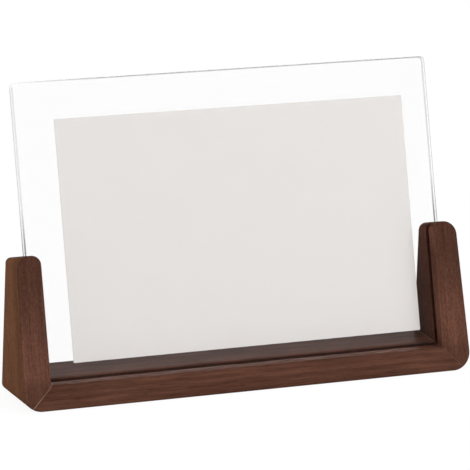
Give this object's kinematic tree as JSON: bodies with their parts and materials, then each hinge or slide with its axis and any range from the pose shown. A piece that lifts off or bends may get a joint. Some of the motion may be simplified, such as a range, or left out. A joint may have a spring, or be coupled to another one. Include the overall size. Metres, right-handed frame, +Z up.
{
  "type": "acrylic photo display",
  "caption": "Photo display with clear acrylic sheets around a print, leaning back in a grooved walnut stand with a low rail and tapered uprights.",
  "frame": {"origin": "on the table, under the middle of the stand's foot", "axes": "+X to the viewer's right along the rail, +Y to the back, +Z up"},
  "size_m": [0.1924, 0.0426, 0.1268],
  "materials": {
    "walnut": "satin",
    "dowel": "matte",
    "acrylic": "polished",
    "print": "satin"
  },
  "bodies": {
    "stand": {"bottom_rail": "walnut", "left_upright": "walnut", "right_upright": "walnut", "left_front_dowel": "dowel", "left_rear_dowel": "dowel", "right_front_dowel": "dowel", "right_rear_dowel": "dowel"},
    "rear_sheet": {"rear_sheet": "acrylic"},
    "front_sheet": {"front_sheet": "acrylic"},
    "print": {"photo_print": "print"}
  },
  "joints": [
    {"name": "rear_sheet_lift", "type": "slide", "parent": "stand", "child": "rear_sheet", "axis": [0, 0.2419, 0.9703], "range_m": [0, 0.054]},
    {"name": "front_sheet_lift", "type": "slide", "parent": "stand", "child": "front_sheet", "axis": [0, 0.2419, 0.9703], "range_m": [0, 0.054]},
    {"name": "print_slide", "type": "slide", "parent": "rear_sheet", "child": "print", "axis": [0, 0.2419, 0.9703], "range_m": [-0.0108, 0.114]}
  ]
}
